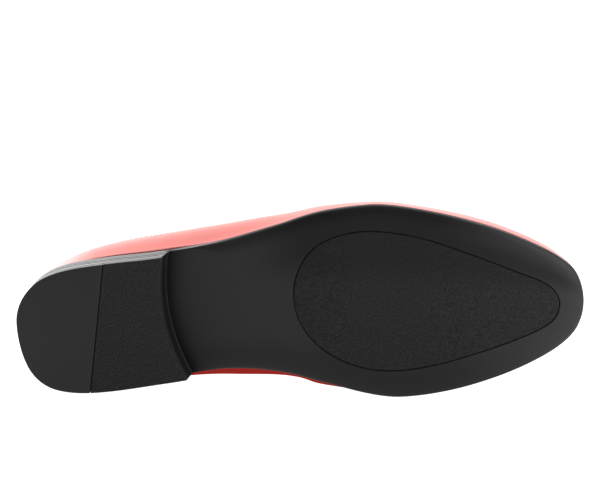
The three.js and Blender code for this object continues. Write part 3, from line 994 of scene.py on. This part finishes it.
# turned-in margin and the rounded corner up to the feather edge, a quadratic curve through the corner point
def lastingMargin():
    s = upperSizes
    flat = [s["featherCorner"] + by for by in s["marginInsets"]]
    rows = [lifted(inset(feather, by), lambda x, y: upperBase(x)) for by in flat]
    for t in np.linspace(0, 1, s["cornerSteps"] + 1)[1:-1]:
        by = (1 - t) ** 2 * flat[-1] + 2 * t * (1 - t) * s["featherCorner"]
        rows.append(lifted(inset(feather, by), lambda x, y: upperBase(x) + t * t * s["featherCorner"]))
    return np.array(rows)


# outward normals of a ring stack after its doubles are merged, as the sum of the faces round each point
def stackNormals(stack):
    rows, count = stack.shape[:2]
    faces = stackQuads(rows, count)
    points = stack.reshape(-1, 3)
    _, same = np.unique(np.round(points, 7), axis=0, return_inverse=True)
    same = same.ravel()
    corners = points[faces]
    facing = np.cross(corners[:, 3] - corners[:, 1], corners[:, 2] - corners[:, 0])
    total = np.zeros((same.max() + 1, 3))
    for corner in faces.T:
        np.add.at(total, same[corner], facing)
    normals = total[same] / np.maximum(np.linalg.norm(total[same], axis=1, keepdims=True), 1e-15)
    return normals.reshape(stack.shape)


wallShares = np.linspace(0, 1, upperSizes["wallRows"] + 1)
wallRows = np.array([lastWall(share) for share in wallShares])
medialTop, lateralTop = wallRows[-1, 1:half][::-1], wallRows[-1, half + 1:]
wallRows[-1, half + 1:] = np.where(behindThroat[half + 1:, None], lateralTop, medialTop)  # one ridge
upperStack = np.concatenate([lastingMargin(), wallRows])
upperNormals = stackNormals(upperStack)
collarOrder = np.concatenate([np.arange(half + 1, len(ringShares)), np.arange(half + 1)])
collarOrder = collarOrder[collar[collarOrder]]  # once round the topline, from throat to throat


# direction in the wall that leads over the topline: across the edge's own run and the wall's normal
def overTopline():
    edge = upperStack[-1][collarOrder]
    run = np.roll(edge, -1, 0) - np.roll(edge, 1, 0)
    run[0] = edge[1] - edge[-2]
    run[-1] = run[0]
    over = unit(np.cross(run, upperNormals[-1][collarOrder]))
    up = upperStack[-1][collarOrder] - upperStack[-2][collarOrder]
    over = over * np.sign((over * up).sum(1, keepdims=True))
    full = np.zeros_like(upperStack[-1])
    full[collarOrder] = over
    return full


toplineOver = overTopline()


# wall between two depths under the last's surface, with a half round edge along the topline; above the
# vamp both faces close along the ridge
def wallBetween(outer, inner, firstRow, drop):
    stack, normals = upperStack[firstRow:], upperNormals[firstRow:]
    outside = stack - normals * outer
    inside = stack - normals * inner
    radius = (inner - outer) / 2
    shift = toplineOver * (drop + radius)
    outside[-1] -= shift
    inside[-1] -= shift
    centre = stack[-1] - normals[-1] * (outer + inner) / 2 - shift
    turns = np.linspace(0, pi, upperSizes["edgeSteps"] + 1)[1:-1]
    edge = [centre + radius * (cos(turn) * normals[-1] + sin(turn) * toplineOver) for turn in turns]
    rings = np.concatenate([outside, edge, inside[::-1]])
    rows, count = rings.shape[:2]
    faces = stackQuads(rows, count, closeRows=True).reshape(rows, count, 4)
    lasted = len(outside)
    keep = np.ones((rows, count), bool)
    both = collar & np.roll(collar, -1)
    keep[lasted - 1:lasted + len(edge)] = both  # the edge runs round the opening only
    return rings.reshape(-1, 3), faces[keep]


# outer leather of the wall, with its marks: painted shade at the feather by height, the dressing less the
# painted shade in
# # the arch, at the feather and where the leather faces up, and the polish by its rows and height
def makeUpper():
    s = upperSizes
    points, faces = wallBetween(0, s["skin"], 0, 0)
    x, y, z = points.T
    rows, count = upperNormals.shape[:2]
    edgeRows = len(points) // count - 2 * rows
    outside = (np.arange(len(points)) < (rows + edgeRows) * count) * 1.0
    facing = upperNormals[..., 2]
    facing = np.concatenate([facing, np.repeat(facing[-1:], edgeRows, 0), facing[::-1]]).ravel()
    height = z - upperBase(x)
    seat = ramp(x, *s["seatAlong"])
    start = s["featherShadeStart"] + (s["seatShadeStart"] - s["featherShadeStart"]) * seat
    fade = s["featherShadeFade"] + (s["seatShadeFade"] - s["featherShadeFade"]) * seat
    # painted shade along the feather line, on the outer face only
    hem = outside * (1 - smoothStep((height - start) / fade))
    # painted shade low down in the arch on the medial side
    archShade = ramp(x, *s["archRear"]) * ramp(x, *s["archFront"]) * ramp(y, *s["archAcross"])
    archShade = archShade * ramp(height, *s["archHeight"])
    # painted shade where the leather faces up
    facingUpShade = s["upShadeShare"] * ramp(facing, *s["upShadeFacing"])
    polish = outside * np.interp(x / shoe["length"], polishRows["at"], polishRows["share"])
    polish = polish * ramp(y, *s["polishAcross"]) * ramp(height, *s["polishHeight"])
    marks = {"hem": hem, "dressing": (1 - archShade) * (1 - hem) * (1 - facingUpShade), "polish": polish}
    return makePiece("upper_shell", points, faces, redLeather, ["upper"], marks=marks)


# inner part of the wall, from under the insole to a little below the topline
def makeLining():
    s = upperSizes
    points, faces = wallBetween(s["skin"] + s["liningGap"], s["wall"], s["liningStart"], s["liningDrop"])
    return makePiece("upper_lining", points, faces, tanLeather)


makeUpper()
makeLining()

# Stitching round the topline
stitchSizes = {
    "below": 0.003,  # the topline
    "pitch": 0.0029,
    "length": 0.0023,
    "width": 0.00052,
    "height": 0.00034,
    "sink": 0.00008,
    "rings": 8,
    "sides": 8,
    "firstRow": 8,  # of the upper's stack, above the margin
}


# row of stitches: a curve beside the topline, cut into equal steps; each stitch is a grain whose ends are
# rounded by a fourth power
def makeStitches():
    s = stitchSizes
    line = (upperStack[-1] - toplineOver * s["below"])[collarOrder[:-1]]
    skinPoints, skinNormals = (a[s["firstRow"]:].reshape(-1, 3) for a in (upperStack, upperNormals))
    nearest = ((line[:, None] - skinPoints) ** 2).sum(-1).argmin(1)
    facing = skinNormals[nearest]
    line = line - facing * ((line - skinPoints[nearest]) * facing).sum(1, keepdims=True)
    closed = np.concatenate([line, line[:1]])
    along = np.concatenate([[0], np.cumsum(np.linalg.norm(np.diff(closed, axis=0), axis=1))])
    count = int(along[-1] / s["pitch"])

    def sample(values, where):
        looped = np.concatenate([values, values[:1]])
        return np.stack([np.interp(where, along, looped[:, k]) for k in range(3)], -1)

    where = (np.arange(count) + 0.5) * along[-1] / count
    middle, normal = sample(line, where), sample(facing, where)
    run = unit(sample(line, where + s["length"] / 4) - sample(line, where - s["length"] / 4))
    side = np.cross(normal, run)
    u = np.linspace(0, 1, s["rings"])[None, :, None, None]
    v = np.arange(s["sides"])[None, None, :, None] * 2 * pi / s["sides"]
    plump = np.sqrt(np.maximum(0, 1 - (2 * u - 1) ** 4))
    middle, normal, run, side = (
        rows[:, None, None, :] for rows in (middle - normal * s["sink"], normal, run, side)
    )
    section = normal * np.cos(v) * s["height"] + side * np.sin(v) * s["width"] / 2
    grains = middle + run * (u - 0.5) * s["length"] + plump * section
    quads = stackQuads(s["rings"], s["sides"])
    faces = (np.arange(count)[:, None, None] * s["rings"] * s["sides"] + quads).reshape(-1, 4)
    return makePiece("topline_stitches", grains.reshape(-1, 3), faces, thread)


makeStitches()

# Insole
insoleSizes = {"clearance": 0.001, "thickness": 0.003, "edgeRound": 0.0007, "edgeSteps": 4, "rings": 24}


# board on the margin: midline, edge, rounded rim and the top back to its midline
def makeInsole():
    s = insoleSizes
    edge = inset(feather, upperSizes["wall"] + s["clearance"])

    def level(rise):
        return lambda x, y: upperBase(x) + upperSizes["wall"] + shoe["fitGap"] + rise

    rings = [lifted(spine(edge), level(0)), lifted(edge, level(0))]
    for turn in quarterTurn(s["edgeSteps"]):
        ring = inset(edge, s["edgeRound"] * (1 - cos(turn)))
        rings.append(lifted(ring, level(s["thickness"] - s["edgeRound"] * (1 - sin(turn)))))
    middle = spine(ring)
    for share in np.linspace(1, 0, s["rings"])[1:]:
        rings.append(lifted(middle + (ring - middle) * share, level(s["thickness"])))
    stack = np.array(rings)
    return makePiece("insole_sock", stack.reshape(-1, 3), stackQuads(*stack.shape[:2]), tanLeather,
                     ["insole"])


makeInsole()

# Floor, light and camera
studio = {
    "floorSize": 12.0,
    "floorColour": (0.1, 0.1, 0.1),
    "floorRoughness": 0.9,
    "floorGloss": 0.1,
    "floorGlow": 1.12,
    "toeGlow": 0.9,  # more glow beside the toe and the heel than under the shoe
    "toeReach": (0.11, 0.19),
    "heelGlow": 0.8,
    "heelReach": (0.12, 0.36),
    "worldFront": 0.22,
    "worldBack": 3.3,
    "worldRange": (0.48, 0.85),  # between front and back, on a scale of 0 to 1
    "lightAim": (0, 0, 0.05),
    "lights": {
        "top light": {"at": (0.0, 0.05, 1.4), "size": 1.6, "power": 28.0},
        "toe light": {"at": (1.2, -0.75, 0.55), "size": 0.9, "power": 13.0},
    },
}


# matte and pale, with a glow of its own that grows beside the toe and the heel
def floorFill(nodes):
    s = studio
    place = nodes.node("ShaderNodeTexCoord", out=3)
    along = nodes.node("ShaderNodeSeparateXYZ", {}, {0: place}, 0)
    toe = rising(nodes, along, *s["toeReach"]) * s["toeGlow"]
    heel = rising(nodes, 0 - along, *s["heelReach"]) * s["heelGlow"]
    return {
        "Base Color": (*s["floorColour"], 1),
        "Roughness": s["floorRoughness"],
        "Specular IOR Level": s["floorGloss"],
        "Emission Color": 1 + toe + heel,
        "Emission Strength": s["floorGlow"],
    }


# one large square on the ground
def makeFloor():
    h = studio["floorSize"] / 2
    mesh = bpy.data.meshes.new("floor")
    mesh.from_pydata([(-h, -h, 0), (h, -h, 0), (h, h, 0), (-h, h, 0)], [], [(0, 1, 2, 3)])
    mesh.materials.append(finish("pale floor", floorFill))
    floor = bpy.data.objects.new("floor", mesh)
    bpy.context.scene.collection.objects.link(floor)


# soft boxes that face the shoe, each with its size and power
def makeLights():
    for name, row in studio["lights"].items():
        light = bpy.data.lights.new(name, "AREA")
        light.size = row["size"]
        light.energy = row["power"]
        lamp = bpy.data.objects.new(name, light)
        lamp.location = row["at"]
        aim = Vector(studio["lightAim"]) - Vector(row["at"])
        lamp.rotation_euler = aim.to_track_quat("-Z", "Y").to_euler()
        lamp.visible_camera = False
        bpy.context.scene.collection.objects.link(lamp)


# white surroundings behind the shoe, dimmer to the front: a ramp of the direction's y, moved to 0 to 1
def makeWorld():
    world = bpy.data.worlds.new("studio")
    world.use_nodes = True
    world.node_tree.nodes.clear()
    nodes = Wire(world.node_tree)
    direction = nodes.node("ShaderNodeTexCoord")
    depth = nodes.node("ShaderNodeSeparateXYZ", {}, {0: direction}, 1)
    greys = [(grey, grey, grey, 1) for grey in (studio["worldFront"], studio["worldBack"])]
    stops = list(zip(studio["worldRange"], greys))
    shade = nodes.node("ShaderNodeValToRGB", {"stops": stops}, {0: depth * 0.5 + 0.5})
    sky = nodes.node("ShaderNodeBackground", {}, {"Color": shade})
    nodes.node("ShaderNodeOutputWorld", {}, {"Surface": sky})
    bpy.context.scene.world = world


# where the camera stands: turned to the toe and the lateral side from square to the sole, and rolled
photoView = {
    "image": (600, 500),
    "focalPixels": 3008,
    "sensorWidth": 36,
    "distance": 1.6,
    "toToe": radians(6),
    "toLateral": radians(12),
    "roll": radians(-2.5),
    "target": (0.1528, 0.0, 0.005),  # on the upright shoe
    "targetPixel": (300, 301.4),
}


# away points from the shoe to the camera; the aim is then lifted until the target falls on its pixel
def makeCamera():
    v = photoView
    away = unit(np.array([tan(v["toToe"]), -tan(v["toLateral"]), -1.0]))
    up = np.array([0.0, -1.0, 0.0])
    up = unit(up - away * (up @ away))
    right = np.cross(up, away)
    right, up = cos(v["roll"]) * right + sin(v["roll"]) * up, cos(v["roll"]) * up - sin(v["roll"]) * right
    place = np.array(v["target"]) + away * v["distance"]
    lift = atan((v["targetPixel"][1] - v["image"][1] / 2) / v["focalPixels"])  # aim above the target
    away, up = cos(lift) * away - sin(lift) * up, cos(lift) * up + sin(lift) * away
    turn = Matrix(np.stack([lie @ right, lie @ up, lie @ away], 1).tolist())
    camera = bpy.data.cameras.new("camera")
    camera.sensor_width = v["sensorWidth"]
    camera.lens = v["focalPixels"] * v["sensorWidth"] / v["image"][0]
    holder = bpy.data.objects.new("camera", camera)
    holder.matrix_world = Matrix.Translation(laid(place)) @ turn.to_4x4()
    bpy.context.scene.collection.objects.link(holder)
    bpy.context.scene.camera = holder


makeFloor()
makeLights()
makeWorld()
makeCamera()
bpy.context.scene.view_settings.view_transform = "Standard"
print("studio ready")
